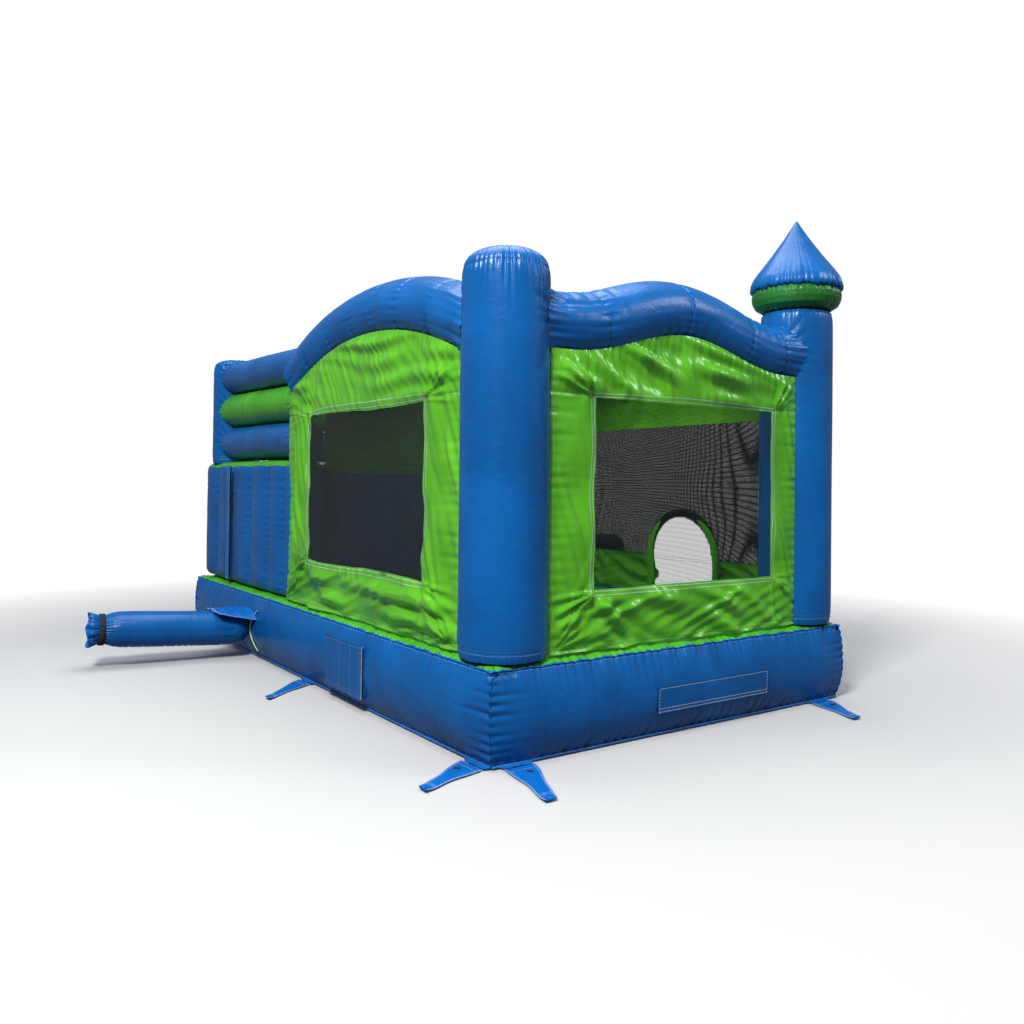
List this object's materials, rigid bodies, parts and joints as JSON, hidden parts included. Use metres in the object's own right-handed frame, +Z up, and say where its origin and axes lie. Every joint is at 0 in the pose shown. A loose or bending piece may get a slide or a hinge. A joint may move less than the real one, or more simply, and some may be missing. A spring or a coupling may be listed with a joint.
{
  "type": "inflatable bounce house",
  "caption": "Inflatable bounce house with a netted bounce cabin, cone-topped corner columns and a climb-and-slide section, on an air-filled base.",
  "frame": {"origin": "on the ground, under the middle of the rectangular base", "axes": "+X along the base's long side from the bounce cabin to the slide section, -Y towards the front with the doorway and the slide's exit, +Z up"},
  "size_m": [7.264, 5.8641, 3.955],
  "materials": {
    "vinyl_blue": "PVC-coated polyester cloth, glossy, blue",
    "vinyl_green": "PVC-coated polyester cloth, glossy, green",
    "vinyl_base": "matt grey-black ground cloth",
    "net_black": "knotted nylon safety net",
    "web_inner": "white inner web cloth",
    "strap_black": "woven polypropylene strap",
    "zipper_black": "moulded coil zipper",
    "slider_metal": "black painted zinc slider"
  },
  "bodies": {
    "envelope": {"base_tube_rear": "vinyl_blue", "base_tube_end": "vinyl_blue", "base_tube_front": "vinyl_blue", "base_tube_slide_end": "vinyl_blue", "column_flat_top": "vinyl_blue", "column_cone_end": "vinyl_blue", "column_cone_middle": "vinyl_blue", "column_slide_corner": "vinyl_blue", "cone_roof_end": "vinyl_blue", "cone_roof_middle": "vinyl_blue", "arch_end": "vinyl_blue", "arch_rear": "vinyl_blue", "arch_front": "vinyl_blue", "arch_middle": "vinyl_blue", "lower_wall_rear": "vinyl_blue", "lower_wall_end": "vinyl_blue", "partition": "vinyl_blue", "lane_divider": "vinyl_blue", "lower_wall_front": "vinyl_blue", "upper_tube_low": "vinyl_blue", "upper_tube_top": "vinyl_blue", "landing_bumper_cabin": "vinyl_blue", "landing_bumper_outer": "vinyl_blue", "landing_pad": "vinyl_blue", "entrance_step": "vinyl_blue", "label_pocket": "vinyl_blue", "spare_inlet_pouch": "vinyl_blue", "climbing_ramp": "vinyl_blue", "slide_bed": "vinyl_blue", "bounce_floor": "vinyl_green", "cone_brim_end": "vinyl_green", "cone_brim_middle": "vinyl_green", "panel_end": "vinyl_green", "panel_rear": "vinyl_green", "panel_front": "vinyl_green", "panel_middle": "vinyl_green", "doorway_band": "vinyl_green", "bounce_roof": "vinyl_green", "upper_tube_middle": "vinyl_green", "platform": "vinyl_green", "climbing_steps": "vinyl_green", "slide_cover": "vinyl_green", "ground_sheet": "vinyl_base", "net_end": "net_black", "net_rear": "net_black", "net_front": "net_black", "floor_webs": "web_inner", "zipper_chain": "zipper_black"},
    "sleeve": {"blower_sleeve": "vinyl_blue", "sleeve_tie": "strap_black"},
    "sleeve_cover": {"sleeve_flap": "vinyl_blue"},
    "pouch_cover": {"pouch_flap": "vinyl_blue"},
    "zip_pull": {"zipper_slider": "slider_metal"},
    "zip_cover": {"zipper_flap": "vinyl_blue"},
    "tab_rear_corner": {"anchor_tab_rear_corner": "vinyl_blue"},
    "tab_rear_middle": {"anchor_tab_rear_middle": "vinyl_blue"},
    "tab_end_rear": {"anchor_tab_end_rear": "vinyl_blue"},
    "tab_end_front": {"anchor_tab_end_front": "vinyl_blue"},
    "tab_front": {"anchor_tab_front": "vinyl_blue"},
    "tab_slide_end": {"anchor_tab_slide_end": "vinyl_blue"}
  },
  "joints": [
    {"name": "tab_rear_corner_fold", "type": "hinge", "parent": "envelope", "child": "tab_rear_corner", "pos_m": [-2.93, 1.762, 0.005], "axis": [1, 0, 0], "range_deg": [0, 78]},
    {"name": "tab_rear_middle_fold", "type": "hinge", "parent": "envelope", "child": "tab_rear_middle", "pos_m": [-0.26, 1.762, 0.005], "axis": [1, 0, 0], "range_deg": [0, 78]},
    {"name": "tab_end_rear_fold", "type": "hinge", "parent": "envelope", "child": "tab_end_rear", "pos_m": [-3.112, 1.53, 0.005], "axis": [0, 1, 0], "range_deg": [0, 78]},
    {"name": "tab_end_front_fold", "type": "hinge", "parent": "envelope", "child": "tab_end_front", "pos_m": [-3.112, -1.447, 0.005], "axis": [0, 1, 0], "range_deg": [0, 78]},
    {"name": "tab_front_fold", "type": "hinge", "parent": "envelope", "child": "tab_front", "pos_m": [-2.7, -1.762, 0.005], "axis": [-1, 0, 0], "range_deg": [0, 78]},
    {"name": "tab_slide_end_fold", "type": "hinge", "parent": "envelope", "child": "tab_slide_end", "pos_m": [3.112, 0.3, 0.005], "axis": [0, -1, 0], "range_deg": [0, 78]},
    {"name": "sleeve_sway", "type": "hinge", "parent": "envelope", "child": "sleeve", "pos_m": [1.17, 1.925, 0.288], "axis": [0, 0, 1], "range_deg": [-15, 15]},
    {"name": "sleeve_cover_lift", "type": "hinge", "parent": "envelope", "child": "sleeve_cover", "pos_m": [1.19, 1.78, 0.472], "axis": [1, 0, 0], "range_deg": [0, 85]},
    {"name": "pouch_cover_open", "type": "hinge", "parent": "envelope", "child": "pouch_cover", "pos_m": [-0.795, 1.8005, 0.305], "axis": [0, 0, -1], "range_deg": [0, 100]},
    {"name": "zip_travel", "type": "slide", "parent": "envelope", "child": "zip_pull", "axis": [0, 0, 1], "range_m": [-0.96, 0.13]},
    {"name": "zip_cover_open", "type": "hinge", "parent": "envelope", "child": "zip_cover", "pos_m": [2.11, 1.7075, 1.28], "axis": [0, 0, -1], "range_deg": [0, 120]}
  ]
}
